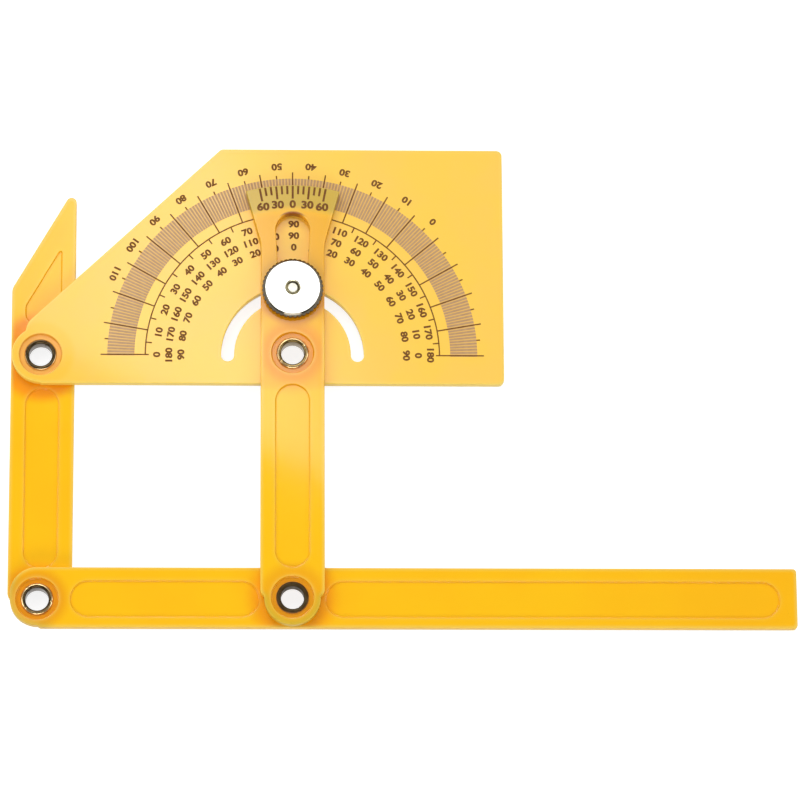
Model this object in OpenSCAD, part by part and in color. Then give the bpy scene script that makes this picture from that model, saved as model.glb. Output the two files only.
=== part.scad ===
// Angle finder: a protractor head, an indicator arm, a pointed link and a long blade, hinged with
// four hollow rivets into a parallelogram, and locked by a thumb nut on a screw in an arc slot.
// The origin is the centre of the angle scale, on the scale's own face. +X runs along the blade,
// +Y towards the head's top edge and +Z up out of the scale.

/* [Linkage] */
// Distance between two pivots along the blade
pivot_across = 79; // [70:0.5:90]
// Distance between two pivots along the indicator arm
pivot_down = 78.5; // [70:0.5:90]
// Thickness of each plastic plate
plate_t = 3; // [2.6:0.1:4]
// Running gap between two plates that slide on each other
layer_gap = 0.1; // [0.05:0.05:0.3]

/* [Protractor head] */
// From the scale's centre to the head's right edge
head_right = 66.5; // [60:0.5:80]
// From the scale's centre to the head's top edge
head_top = 67.8; // [62:0.1:75]
// From the scale's centre to the head's bottom edge
head_bottom = 9.3; // [9:0.1:12]
// Slope of the head's long upper left edge
head_slope = 43.5; // [40:0.5:47]
// From the left rivet square to that sloping edge
slope_offset = 10.4; // [9:0.1:12]
// Radius of the head's round end at its left rivet
head_end_r = 9; // [7.8:0.1:9]
// Radius where the sloping edge runs into that round end
head_slope_r = 6; // [1:0.5:8]
// Radius of the head's three corners
head_corner_r = 1.8; // [0.5:0.1:4]

/* [Clamp slot] */
// Radius of the slot's centre line about the main pivot
slot_r = 20.4; // [18:0.1:24]
// Width of the slot
slot_w = 4.1; // [4.1:0.1:5]
// Angle from the middle of the slot to each end
slot_reach = 90; // [80:1:100]

/* [Indicator arm] */
// Width of the arm's parallel part
arm_w = 20; // [19:0.5:24]
// Radius of the arm's round foot
arm_foot_r = 8.8; // [7.8:0.1:9.5]
// Radius where the arm's sides run into that foot
arm_heel_r = 2.5; // [0.5:0.1:4]
// Radius of the arm's top edge about the main pivot
arm_reach = 55; // [50:0.5:60]
// Angle from the arm's centre line to each side of its fan
fan_half_angle = 15.6; // [13:0.1:18]
// Radius of the blend from the fan into the parallel sides
fan_blend_r = 16; // [4:1:30]
// Radius of the window's round top
window_r = 5.4; // [4:0.1:6]
// Distance of that round top's centre from the main pivot
window_y = 40.3; // [38:0.1:44]
// Half of the window's width at its lower end
window_foot = 4.6; // [3:0.1:5]
// Distance of the window's lower end from the main pivot
window_low = 27; // [26:0.5:30]

/* [Pointed link] */
// From the link's rivets to its left edge
link_left = 9.3; // [9:0.1:12]
// From the link's rivets to its right edge
link_right = 10.6; // [9:0.1:12]
// From the upper rivet to the top of the link's point
tip_reach = 52.4; // [45:0.1:60]
// Angle of the slanted edge from the link's length
tip_angle = 30; // [25:1:35]
// Radius of the rounded point
tip_r = 1.6; // [1:0.1:3]
// Radius of the corner where the slanted edge meets the left edge
shoulder_r = 4; // [1:0.5:10]
// Radius of the link's round foot at its lower rivet
link_foot_r = 7.8; // [7.8:0.1:9]
// Radius of the shoulders above that foot
link_foot_blend_r = 2.5; // [0.5:0.5:5]

/* [Blade] */
// From the blade's rivets to its upper edge
blade_above = 10; // [9:0.1:12]
// From the blade's rivets to its lower edge
blade_below = 9; // [9:0.1:12]
// From the arm's rivet to the blade's right end
blade_right = 156.9; // [120:0.1:200]
// Radius of the blade's round end at its left rivet
blade_end_r = 8.4; // [7.8:0.1:9]
// Radius of the blade's upper left corner
blade_crown_r = 8.2; // [6:0.1:8.5]
// Radius where the blade's lower edge runs into its round end
blade_heel_r = 1.5; // [0.5:0.1:3]
// Radius of the blade's two right corners
blade_corner_r = 1.2; // [0.5:0.1:3]

/* [Recessed panels] */
// Depth of the panels
panel_depth = 0.6; // [0.3:0.1:1]
// Width of the rim beside a panel on the arm and the link
panel_rim = 4.7; // [4:0.1:6]
// Width of the blade's panels
blade_panel_w = 11.4; // [9:0.1:12.5]
// From a rivet to the nearest end of a panel
panel_start = 10.3; // [9.5:0.1:14]
// From the arm's lower rivet to the end of its panel
arm_panel_foot = 9.5; // [9:0.1:14]
// From the blade's right end to its long panel
panel_end = 5.4; // [4:0.1:10]
// From the upper rivet to the lower edge of the panel in the link's point
tip_panel_low = 11; // [9:0.5:14]
// Width of the rims between that panel and the link's upright edges
tip_side_rim = 4.4; // [3.5:0.1:6]
// Width of the rim between that panel and the slanted edge
tip_slant_rim = 6.6; // [4:0.1:8]
// Radius of that panel's lower corners and of the one at the shoulder
tip_panel_r = 3; // [0.5:0.1:3.5]
// Radius of that panel's upper corner
tip_panel_apex_r = 0.5; // [0.3:0.1:1.5]

/* [Hollow rivets] */
// Radius of the hole through a rivet
rivet_bore_r = 3.6; // [3.2:0.05:4]
// Thickness of the rivet's sheet metal
rivet_wall = 0.4; // [0.3:0.05:0.5]
// Radius of the roll at each end of a rivet, to the outside of the metal
rivet_roll_r = 0.75; // [0.6:0.05:0.9]
// Clearance between a rivet and the plates round it
rivet_play = 0.05; // [0.02:0.01:0.1]
// Radius of the counterbore round each rivet end
counterbore_r = 6.6; // [6:0.1:7]
// Depth of the counterbore
counterbore_depth = 1; // [0.8:0.1:1.2]

/* [Clamp] */
// Diameter of the clamp screw
screw_d = 4; // [3.5:0.1:4]
// Clearance between the screw and the holes that it passes, on the radius
screw_play = 0.1; // [0.05:0.05:0.2]
// Clearance between the screw and the nut's thread, on the radius
thread_play = 0.05; // [0.02:0.01:0.1]
// Side of the square neck that keeps the screw from turning
neck_side = 3.8; // [3.4:0.1:3.8]
// Length of the square neck
neck_length = 2.4; // [1.5:0.1:2.5]
// Radius of the screw's low round head
screw_head_r = 4.2; // [3.8:0.1:5]
// Height of the screw's head
screw_head_h = 2; // [1.5:0.1:2.2]
// Height of the upright rim below the head's dome
screw_head_rim = 0.5; // [0.3:0.1:0.8]
// Radius of the flat end of the screw
screw_point_r = 1.4; // [1.1:0.1:1.6]
// Diameter of the washer
washer_d = 9; // [8:0.1:10]
// Thickness of the washer
washer_t = 0.6; // [0.4:0.1:1]
// Radius of the thumb nut over its knurls
nut_r = 9.6; // [8:0.1:11]
// Thickness of the thumb nut
nut_t = 2.6; // [2.4:0.1:4]
// Radius of the flat face on top of the nut
nut_face_r = 8.6; // [7:0.1:9]
// Width of the bevel round the nut's foot
nut_foot_bevel = 0.5; // [0.2:0.1:0.8]
// Width of the bevel round the mouth of the nut's thread
nut_mouth_bevel = 0.4; // [0.2:0.1:0.8]
// Number of knurls round the nut
knurls = 40; // [20:2:60]
// Radius of the groove between two knurls
knurl_groove_r = 0.42; // [0.3:0.02:0.5]
// Depth of the groove between two knurls
knurl_depth = 0.3; // [0.1:0.05:0.35]
// Running gap under the nut and over the screw's head
clamp_gap = 0.03; // [0.02:0.01:0.1]
// Depth of the screw's end below the nut's face
screw_end_drop = 0.35; // [0:0.05:0.8]

/* [Hidden] */

// Round faces of the plates and of the small metal pieces
$fn = 96;

// Overshoot of a cut past the face that it opens
cut = 1;

// Shortest straight side that a panel's outline keeps
shortest_side = 0.5;

// Pivots, named for the two plates that each joins
head_arm_at = [0, 0];
head_link_at = [-pivot_across, 0];
blade_arm_at = [0, -pivot_down];
blade_link_at = [-pivot_across, -pivot_down];

// Levels of the three layers of plates, from the scale's face
scale_face = 0;
head_base = scale_face - plate_t;
arm_base = scale_face + layer_gap;
arm_face = arm_base + plate_t;
link_face = head_base - layer_gap;
link_base = link_face - plate_t;

// Radius of the hole in each plate that a rivet passes
rivet_outer_r = rivet_bore_r + rivet_wall;
rivet_hole_r = rivet_outer_r + rivet_play;

// Width of the link, and the middle of that width
link_w = link_left + link_right;
link_mid_x = head_link_at.x + (link_right - link_left) / 2;

// Clamp levels and places
clamp_at = [0, slot_r];
screw_r = screw_d / 2;
nut_base = arm_face + washer_t + clamp_gap;
nut_face = nut_base + nut_t;
screw_end = nut_face - screw_end_drop;

// Unit vector at an angle from +X
function heading(a) = [cos(a), sin(a)];
function unit(v) = v / norm(v);

// Turn from one edge of an outline to the next: positive at a convex corner
function turn(p, q, r) = (q.x - p.x) * (r.y - q.y) - (q.y - p.y) * (r.x - q.x);

// Half of the angle between the two edges that meet at q
function half_angle(p, q, r) = acos(unit(p - q) * unit(r - q)) / 2;

// Centre of the arc of the given radius that touches both edges at q
function arc_centre(p, q, r, radius) =
    q + unit(unit(p - q) + unit(r - q)) * radius / sin(half_angle(p, q, r));

// The two points where that arc meets the edges
function arc_ends(p, q, r, radius) =
    let (reach = radius / tan(half_angle(p, q, r)))
    [q + unit(p - q) * reach, q + unit(r - q) * reach];

// A polygon, listed anticlockwise, with each corner rounded to its own radius
module rounded_outline(corners, radii) {
    n = len(corners);
    difference() {
        union() {
            polygon([
                for (i = [0 : n - 1])
                    let (p = corners[(i + n - 1) % n], q = corners[i], r = corners[(i + 1) % n])
                    for (end = radii[i] > 0 ? arc_ends(p, q, r, radii[i]) : [q]) end
            ]);
            for (i = [0 : n - 1]) {
                p = corners[(i + n - 1) % n];
                q = corners[i];
                r = corners[(i + 1) % n];
                if (radii[i] > 0 && turn(p, q, r) > 0)
                    translate(arc_centre(p, q, r, radii[i])) circle(r = radii[i]);
            }
        }
        for (i = [0 : n - 1]) {
            p = corners[(i + n - 1) % n];
            q = corners[i];
            r = corners[(i + 1) % n];
            if (radii[i] > 0 && turn(p, q, r) < 0)
                translate(arc_centre(p, q, r, radii[i])) circle(r = radii[i]);
        }
    }
}

// A slot outline with round ends at two points
module stadium(from, to, width) {
    along = unit(to - from);
    side = [-along.y, along.x] * width / 2;
    polygon([from - side, to - side, to + side, from + side]);
    translate(from) circle(d = width);
    translate(to) circle(d = width);
}

// A plate of the common thickness, standing on the given level
module plate(level) {
    translate([0, 0, level]) linear_extrude(height = plate_t) children();
}

// A shallow pocket sunk from the given face
module panel(face) {
    translate([0, 0, face - panel_depth]) linear_extrude(height = panel_depth + cut) children();
}

// Hole and counterbore for a rivet whose rolled end lies in the plate's upper or lower face
module rivet_seat(at, face, up) {
    inner = up ? face - counterbore_depth : face + counterbore_depth;
    outer = up ? face + cut : face - cut;
    translate([at.x, at.y, min(inner, outer)])
        cylinder(r = counterbore_r, h = abs(outer - inner));
    translate([at.x, at.y, up ? face - plate_t - cut : face - cut])
        cylinder(r = rivet_hole_r, h = plate_t + 2 * cut);
}

// A rivet: a tube whose metal is rolled outwards over both plates
module rivet(at, low_floor, high_floor) {
    roll_x = rivet_bore_r + rivet_roll_r;
    inner_roll_r = rivet_roll_r - rivet_wall;
    translate([at.x, at.y, 0]) rotate_extrude() {
        translate([rivet_bore_r, low_floor])
            square([rivet_wall, high_floor - low_floor]);
        translate([roll_x, high_floor]) half_ring(inner_roll_r, 1);
        translate([roll_x, low_floor]) half_ring(inner_roll_r, -1);
    }
}

// Half of a ring, above the X axis for way 1 and below it for way -1
module half_ring(inner_r, way) {
    outer_r = rivet_roll_r;
    intersection() {
        difference() {
            circle(r = outer_r);
            circle(r = inner_r);
        }
        translate([-outer_r - cut, way > 0 ? 0 : -outer_r - cut])
            square([2 * (outer_r + cut), outer_r + cut]);
    }
}

// Outline of the protractor head without its round left end
module head_outline() {
    along = heading(head_slope);
    foot = head_link_at + slope_offset * heading(head_slope + 90);
    top_left = foot + along * (head_top - foot.y) / along.y;
    rounded_outline(
        [
            [head_link_at.x, -head_bottom],
            [head_right, -head_bottom],
            [head_right, head_top],
            top_left,
            foot,
            head_link_at
        ],
        [0, head_corner_r, head_corner_r, head_corner_r, head_slope_r, 0]
    );
    translate(head_link_at) circle(r = head_end_r);
}

// The arc slot that the clamp screw runs in
module slot_outline() {
    outer_r = slot_r + slot_w / 2;
    inner_r = slot_r - slot_w / 2;
    wide = 3 * outer_r;
    low = 90 - slot_reach;
    intersection() {
        difference() {
            circle(r = outer_r);
            circle(r = inner_r);
        }
        polygon([[0, 0], wide * heading(low), [wide, wide], [-wide, wide], wide * heading(180 - low)]);
    }
    for (a = [low, 180 - low]) translate(slot_r * heading(a)) circle(d = slot_w);
}

module protractor_head() {
    color([1, 0.82, 0.37]) difference() {
        plate(head_base) head_outline();
        translate([0, 0, head_base - cut])
            linear_extrude(height = plate_t + 2 * cut) slot_outline();
        rivet_seat(head_link_at, scale_face, true);
        rivet_seat(head_arm_at, head_base, false);
    }
}

// Outline of the indicator arm: a bar with a round foot, opening into a fan
module arm_outline() {
    half = arm_w / 2;
    fan_y = half / tan(fan_half_angle);
    blend_drop = fan_blend_r * tan(fan_half_angle / 2);
    fan = arm_reach + cut;
    intersection() {
        rounded_outline(
            [
                [-half, blade_arm_at.y],
                [half, blade_arm_at.y],
                [half, fan_y],
                fan * heading(90 - fan_half_angle),
                [0, fan + cut],
                fan * heading(90 + fan_half_angle),
                [-half, fan_y]
            ],
            [arm_heel_r, arm_heel_r, fan_blend_r, 0, 0, 0, fan_blend_r]
        );
        union() {
            circle(r = arm_reach);
            translate([-half - cut, blade_arm_at.y])
                square([arm_w + 2 * cut, pivot_down + fan_y - blend_drop]);
        }
    }
    translate(blade_arm_at) circle(r = arm_foot_r);
}

// The window over the scale's numbers: a round top on a body that narrows downwards
module window_outline() {
    translate([0, window_y]) circle(r = window_r);
    polygon([
        [-window_foot, window_low], [window_foot, window_low], [window_r, window_y], [-window_r, window_y]
    ]);
}

module indicator_arm() {
    panel_w = arm_w - 2 * panel_rim;
    color([1, 0.76, 0.2]) difference() {
        plate(arm_base) arm_outline();
        translate([0, 0, arm_base - cut])
            linear_extrude(height = plate_t + 2 * cut) window_outline();
        translate([clamp_at.x, clamp_at.y, arm_base - cut])
            cylinder(r = screw_r + screw_play, h = plate_t + 2 * cut);
        panel(arm_face) stadium(
            [0, -panel_start - panel_w / 2], [0, blade_arm_at.y + arm_panel_foot + panel_w / 2], panel_w
        );
        rivet_seat(head_arm_at, arm_face, true);
        rivet_seat(blade_arm_at, arm_face, true);
    }
}

// Corners of the link's pointed end down to the given level, inside rims left beside its upright
// and slanted edges. The left side is left out where it would be very short.
function point_corners(side_rim, slant_rim, low) =
    let (
        left = head_link_at.x - link_left + side_rim,
        right = head_link_at.x + link_right - side_rim,
        tip_lift = tip_r / tan(tip_angle / 2) - tip_r,
        apex_y = tip_reach + tip_lift - (slant_rim + side_rim * cos(tip_angle)) / sin(tip_angle),
        shoulder_y = apex_y - (right - left) / tan(tip_angle),
        foot_x = right - (apex_y - low) * tan(tip_angle)
    )
    shoulder_y - low > shortest_side
        ? [[right, low], [right, apex_y], [left, shoulder_y], [left, low]]
        : [[right, low], [right, apex_y], [foot_x, low]];

module link_outline() {
    rounded_outline(
        point_corners(0, 0, blade_link_at.y),
        [link_foot_blend_r, tip_r, shoulder_r, link_foot_blend_r]
    );
    translate(blade_link_at) circle(r = link_foot_r);
}

// The panel in the point. Its left corners are limited by the length of its left side.
module tip_panel_outline() {
    corners = point_corners(tip_side_rim, tip_slant_rim, tip_panel_low);
    has_side = len(corners) == 4;
    side = has_side ? corners[2].y - corners[3].y : 0;
    side_r = min(tip_panel_r, side / (1 + tan(tip_angle / 2)) - shortest_side / 4);
    radii = has_side
        ? [tip_panel_r, tip_panel_apex_r, side_r, side_r]
        : [tip_panel_r, tip_panel_apex_r, tip_panel_r];
    rounded_outline(corners, radii);
}

module pointed_link() {
    panel_w = link_w - 2 * panel_rim;
    color([1, 0.74, 0.14]) difference() {
        plate(link_base) link_outline();
        panel(link_face) stadium(
            [link_mid_x, -panel_start - panel_w / 2],
            [link_mid_x, blade_link_at.y + panel_start + panel_w / 2], panel_w
        );
        panel(link_face) tip_panel_outline();
        rivet_seat(head_link_at, link_base, false);
        rivet_seat(blade_link_at, link_base, false);
    }
}

module blade_outline() {
    rounded_outline(
        [
            [blade_link_at.x, blade_link_at.y - blade_below],
            [blade_right, blade_link_at.y - blade_below],
            [blade_right, blade_link_at.y + blade_above],
            [blade_link_at.x - blade_end_r, blade_link_at.y + blade_above],
            [blade_link_at.x - blade_end_r, blade_link_at.y],
            blade_link_at
        ],
        [blade_heel_r, blade_corner_r, blade_corner_r, blade_crown_r, 0, 0]
    );
    translate(blade_link_at) circle(r = blade_end_r);
}

module blade() {
    end_x = blade_panel_w / 2;
    color([1, 0.75, 0.11]) difference() {
        plate(head_base) blade_outline();
        panel(scale_face) stadium(
            blade_link_at + [panel_start + end_x, 0], blade_arm_at - [panel_start + end_x, 0], blade_panel_w
        );
        panel(scale_face) stadium(
            blade_arm_at + [panel_start + end_x, 0],
            [blade_right - panel_end - end_x, blade_arm_at.y], blade_panel_w
        );
        rivet_seat(blade_link_at, scale_face, true);
        rivet_seat(blade_arm_at, head_base, false);
    }
}

// Rivets through the two lower layers reach from the link's underside to the scale's face
module low_rivet(at) {
    color([0.72, 0.62, 0.42])
        rivet(at, link_base + counterbore_depth, scale_face - counterbore_depth);
}

// Rivets through the two upper layers reach from the head's underside to the arm's face
module high_rivet(at) {
    color([0.62, 0.54, 0.38])
        rivet(at, head_base + counterbore_depth, arm_face - counterbore_depth);
}

module head_link_rivet() low_rivet(head_link_at);
module head_arm_rivet() high_rivet(head_arm_at);
module blade_link_rivet() low_rivet(blade_link_at);
module blade_arm_rivet() high_rivet(blade_arm_at);

// Low domed head whose flat side lies at the given level
module screw_head(seat) {
    dome_h = screw_head_h - screw_head_rim;
    dome_r = (screw_head_r * screw_head_r + dome_h * dome_h) / (2 * dome_h);
    rotate_extrude() intersection() {
        translate([0, seat - screw_head_h + dome_r]) circle(r = dome_r);
        translate([0, seat - screw_head_h]) square([screw_head_r, screw_head_h]);
    }
}

module clamp_screw() {
    seat = head_base - clamp_gap;
    color([0.75, 0.73, 0.7]) translate([clamp_at.x, clamp_at.y, 0]) {
        screw_head(seat);
        translate([-neck_side / 2, -neck_side / 2, seat]) cube([neck_side, neck_side, neck_length]);
        rotate_extrude() polygon([
            [0, seat],
            [screw_r, seat],
            [screw_r, screw_end - (screw_r - screw_point_r)],
            [screw_point_r, screw_end],
            [0, screw_end]
        ]);
    }
}

module clamp_washer() {
    color([0.78, 0.77, 0.74]) translate([clamp_at.x, clamp_at.y, arm_face]) difference() {
        cylinder(d = washer_d, h = washer_t);
        translate([0, 0, -cut]) cylinder(r = screw_r + screw_play, h = washer_t + 2 * cut);
    }
}

module clamp_nut() {
    face_bevel = nut_r - nut_face_r;
    bore = screw_r + thread_play;
    color([0.9, 0.9, 0.88]) translate([clamp_at.x, clamp_at.y, 0]) difference() {
        rotate_extrude() polygon([
            [bore, nut_base],
            [nut_r - nut_foot_bevel, nut_base],
            [nut_r, nut_base + nut_foot_bevel],
            [nut_r, nut_face - face_bevel],
            [nut_face_r, nut_face],
            [bore + nut_mouth_bevel, nut_face],
            [bore, nut_face - nut_mouth_bevel]
        ]);
        for (i = [0 : knurls - 1])
            rotate([0, 0, i * 360 / knurls])
                translate([nut_r + knurl_groove_r - knurl_depth, 0, nut_base - cut])
                    cylinder(r = knurl_groove_r, h = nut_t + 2 * cut, $fn = 24);
    }
}

protractor_head();
indicator_arm();
pointed_link();
blade();
head_link_rivet();
head_arm_rivet();
blade_link_rivet();
blade_arm_rivet();
clamp_screw();
clamp_washer();
clamp_nut();
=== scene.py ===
"""Angle finder: the looks of a plastic linkage protractor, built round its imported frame.

The frame holds the plates, the hollow rivets and the clamp at their real size. This script gives each
of them its moulded, rolled or plated finish, cuts the clamp screw's thread, prints the angle scale and
the vernier, and sets the floor, the lamps and the camera. Lengths are metres, and angles are degrees.
"""

import logging
import math
from collections import defaultdict
from collections.abc import Sequence
from dataclasses import dataclass
from enum import Enum

import bpy
from mathutils import Matrix, Vector

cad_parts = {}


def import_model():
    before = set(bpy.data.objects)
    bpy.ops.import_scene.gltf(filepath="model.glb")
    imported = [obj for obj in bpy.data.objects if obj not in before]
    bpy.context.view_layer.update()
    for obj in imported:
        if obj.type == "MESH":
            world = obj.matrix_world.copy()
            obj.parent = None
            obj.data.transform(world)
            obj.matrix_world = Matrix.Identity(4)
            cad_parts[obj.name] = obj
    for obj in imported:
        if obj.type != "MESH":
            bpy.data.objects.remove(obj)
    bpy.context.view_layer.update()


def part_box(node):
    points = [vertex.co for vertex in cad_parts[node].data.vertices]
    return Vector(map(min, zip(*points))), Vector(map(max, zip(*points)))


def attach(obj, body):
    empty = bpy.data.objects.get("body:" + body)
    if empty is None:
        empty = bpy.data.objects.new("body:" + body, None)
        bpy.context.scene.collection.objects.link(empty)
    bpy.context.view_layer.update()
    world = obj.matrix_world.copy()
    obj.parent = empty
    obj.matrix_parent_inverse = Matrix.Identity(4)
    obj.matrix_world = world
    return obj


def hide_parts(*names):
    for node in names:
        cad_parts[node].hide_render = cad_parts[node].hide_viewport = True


LOG = logging.getLogger("angle_finder")
MM = 0.001
FULL_TURN = 2 * math.pi
HALF_CIRCLE = 180
UPRIGHT = 90

# How softly most of the plates' rings of painted shade and light end
BLUR = 1.2 * MM

# Points closer than this are one point, first on a profile or in the frame, then on a made mesh
PROFILE_DOUBLES = 0.0005 * MM
MESH_DOUBLES = 0.001 * MM

# Faces of the frame that turn by less than this are one face
SAME_PLANE = 0.3

# Names of the marks that the plates' walls carry, which place their painted light and shade
WALL_LAYER = "outer_wall"
RECESS_LAYER = "recess_wall"

Colour = tuple[float, float, float]
Place = tuple[float, float, float]
Point = tuple[float, float]
Pair = tuple[float, float]


class Body(Enum):
    """The moving bodies of the frame."""

    HEAD = "head"
    ARM = "arm"
    LINK = "link"
    BLADE = "blade"
    SCREW = "screw"
    NUT = "nut"


class Slot(Enum):
    """Names of the material slots."""

    HEAD_PLASTIC = "head_plastic"
    ARM_PLASTIC = "arm_plastic"
    RIVET_METAL = "rivet_metal"
    CLAMP_METAL = "clamp_metal"
    SCALE_INK = "scale_ink"


class Facing(Enum):
    """Which way the tops of a ring of printed numbers point."""

    OUTWARDS = -90.0
    INWARDS = 90.0


class Easing(Enum):
    """How a share rises from 0 to 1 between two values."""

    STRAIGHT = "LINEAR"
    SOFT = "SMOOTHSTEP"


def linear_level(value: int) -> float:
    """Return a channel of the screen's scale, 0 to 255, without the screen's curve."""
    share = value / 255
    return share / 12.92 if share <= 0.04045 else ((share + 0.055) / 1.055) ** 2.4


def paint(red: int, green: int, blue: int) -> Colour:
    """Turn a colour of the screen's scale, 0 to 255, into the linear colour that a shader takes.

    Args:
        red: Red on the screen's scale.
        green: Green on the screen's scale.
        blue: Blue on the screen's scale.

    Returns:
        The same colour as three linear values.
    """
    return linear_level(red), linear_level(green), linear_level(blue)


WHITE = (1.0, 1.0, 1.0, 1.0)
AMBER = paint(254, 194, 3)
DEEP_AMBER = paint(254, 187, 2)
# Painted shade where another plate lies over the plastic
SHADE_ORANGE = paint(250, 154, 3)
OLIVE = paint(190, 160, 56)
# Painted dark reflections on the rivets' rolls
DARK_REFLECTION = paint(48, 33, 16)
OLIVE_REFLECTION = paint(112, 92, 48)


def polar(radius: float, angle: float) -> Point:
    """Return the point at a radius and an angle."""
    turn = math.radians(angle)
    return radius * math.cos(turn), radius * math.sin(turn)


def arc(centre: Point, radius: float, start: float, end: float, pieces: int) -> list[Point]:
    """Return points along an arc of a profile, its two ends among them.

    Args:
        centre: Radius and height of the arc's centre.
        radius: The arc's own radius.
        start: Angle of the first point.
        end: Angle of the last point.
        pieces: Number of straight pieces between them.

    Returns:
        The points, in order.
    """
    spokes = [polar(radius, start + (end - start) * i / pieces) for i in range(pieces + 1)]
    return [(centre[0] + across, centre[1] + up) for across, up in spokes]


def clear_selection() -> None:
    """Leave nothing selected."""
    bpy.ops.object.select_all(action="DESELECT")


def hold(piece: bpy.types.Object, *others: bpy.types.Object) -> None:
    """Select a piece, and others with it, and make the first one active.

    Args:
        piece: The piece that becomes active.
        others: The pieces that are selected with it.
    """
    clear_selection()
    for each in (piece, *others):
        each.select_set(True)
    bpy.context.view_layer.objects.active = piece


def open_mesh(piece: bpy.types.Object, action: str = "SELECT") -> None:
    """Start editing a piece's mesh, with all or nothing of it selected.

    Args:
        piece: The piece to edit.
        action: SELECT or DESELECT.
    """
    hold(piece)
    bpy.ops.object.mode_set(mode="EDIT")
    bpy.ops.mesh.select_mode(type="VERT")
    bpy.ops.mesh.select_all(action=action)


def close_mesh() -> None:
    """Stop editing the mesh in hand."""
    bpy.ops.object.mode_set(mode="OBJECT")


def start_point() -> bpy.types.Object:
    """Add a mesh of a single point at the origin, and leave it open with that point selected.

    Returns:
        The new piece.
    """
    clear_selection()
    bpy.ops.mesh.primitive_plane_add(size=MM, location=(0, 0, 0))
    piece = bpy.context.object
    open_mesh(piece)
    bpy.ops.mesh.merge(type="CENTER")
    return piece


def carry_out(piece: bpy.types.Object, kind: str, **settings: object) -> None:
    """Add a modifier to a piece and apply it.

    Args:
        piece: The piece that is finished.
        kind: The modifier's type.
        settings: The modifier's own settings.
    """
    hold(piece)
    modifier = piece.modifiers.new(kind.lower(), kind)
    for key, value in settings.items():
        setattr(modifier, key, value)
    bpy.ops.object.modifier_apply(modifier=modifier.name)


def soften(piece: bpy.types.Object, width: float, steps: int, angle: float) -> None:
    """Round the edges of a piece that turn by more than an angle.

    Args:
        piece: The piece.
        width: How far the rounding reaches from the edge.
        steps: How many faces go across it.
        angle: The angle.
    """
    limit = math.radians(angle)
    carry_out(piece, "BEVEL", width=width, segments=steps, limit_method="ANGLE", angle_limit=limit)


def smooth(piece: bpy.types.Object, angle: float) -> None:
    """Shade a piece smooth, up to the given angle between two faces."""
    hold(piece)
    bpy.ops.object.shade_smooth_by_angle(angle=math.radians(angle))


def shade_softened(piece: bpy.types.Object, angle: float) -> None:
    """Shade a piece with softened edges smooth, and keep its large faces flat."""
    smooth(piece, angle)
    carry_out(piece, "WEIGHTED_NORMAL", weight=100, keep_sharp=True)


def face_out(piece: bpy.types.Object) -> None:
    """Merge a piece's doubled vertices and point its faces outwards.

    Args:
        piece: The piece.
    """
    open_mesh(piece)
    bpy.ops.mesh.remove_doubles(threshold=MESH_DOUBLES)
    bpy.ops.mesh.normals_make_consistent(inside=False)
    close_mesh()


def join(name: str, pieces: Sequence[bpy.types.Object]) -> bpy.types.Object:
    """Join pieces into the first of them, under a new name, with its place in its mesh.

    Args:
        name: The joined piece's name.
        pieces: What is joined.

    Returns:
        The joined piece.
    """
    hold(*pieces)
    bpy.ops.object.join()
    joined = bpy.context.view_layer.objects.active
    joined.name = name
    joined.data.name = name
    bpy.ops.object.transform_apply(location=True, rotation=True, scale=True)
    return joined


def copy_node(node: str, name: str) -> bpy.types.Object:
    """Copy a node of the frame as a piece of its own, with its triangles merged into whole faces.

    Args:
        node: The node's name.
        name: The new piece's name.

    Returns:
        The copy, which rides on nothing yet.
    """
    mesh = bpy.data.objects[node].data.copy()
    mesh.name = name
    mesh.materials.clear()
    piece = bpy.data.objects.new(name, mesh)
    bpy.context.scene.collection.objects.link(piece)
    open_mesh(piece)
    bpy.ops.mesh.remove_doubles(threshold=PROFILE_DOUBLES)
    bpy.ops.mesh.dissolve_limited(angle_limit=math.radians(SAME_PLANE))
    close_mesh()
    return piece


def turn_profile(name: str, profile: Sequence[Point], centre: Point, steps: int) -> bpy.types.Object:
    """Turn a profile about an upright axis, as on a lathe.

    Args:
        name: The new piece's name.
        profile: Radii and heights of the profile's points, in order. A closed one ends where it began.
        centre: Where the axis stands.
        steps: How many faces go round.

    Returns:
        The turned piece.
    """
    piece = start_point()
    piece.name = name
    piece.data.name = name
    last = Vector((0.0, 0.0, 0.0))
    for number, (radius, height) in enumerate(profile):
        point = Vector((centre[0] + radius, centre[1], height))
        if number == 0:
            bpy.ops.transform.translate(value=point - last)
        else:
            bpy.ops.mesh.extrude_region_move(TRANSFORM_OT_translate={"value": point - last})
        last = point
    bpy.ops.mesh.select_all(action="SELECT")
    bpy.ops.mesh.remove_doubles(threshold=PROFILE_DOUBLES)
    bpy.ops.mesh.select_all(action="SELECT")
    bpy.ops.mesh.spin(steps=steps, angle=FULL_TURN, center=(*centre, 0.0), axis=(0, 0, 1))
    close_mesh()
    face_out(piece)
    return piece


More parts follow.
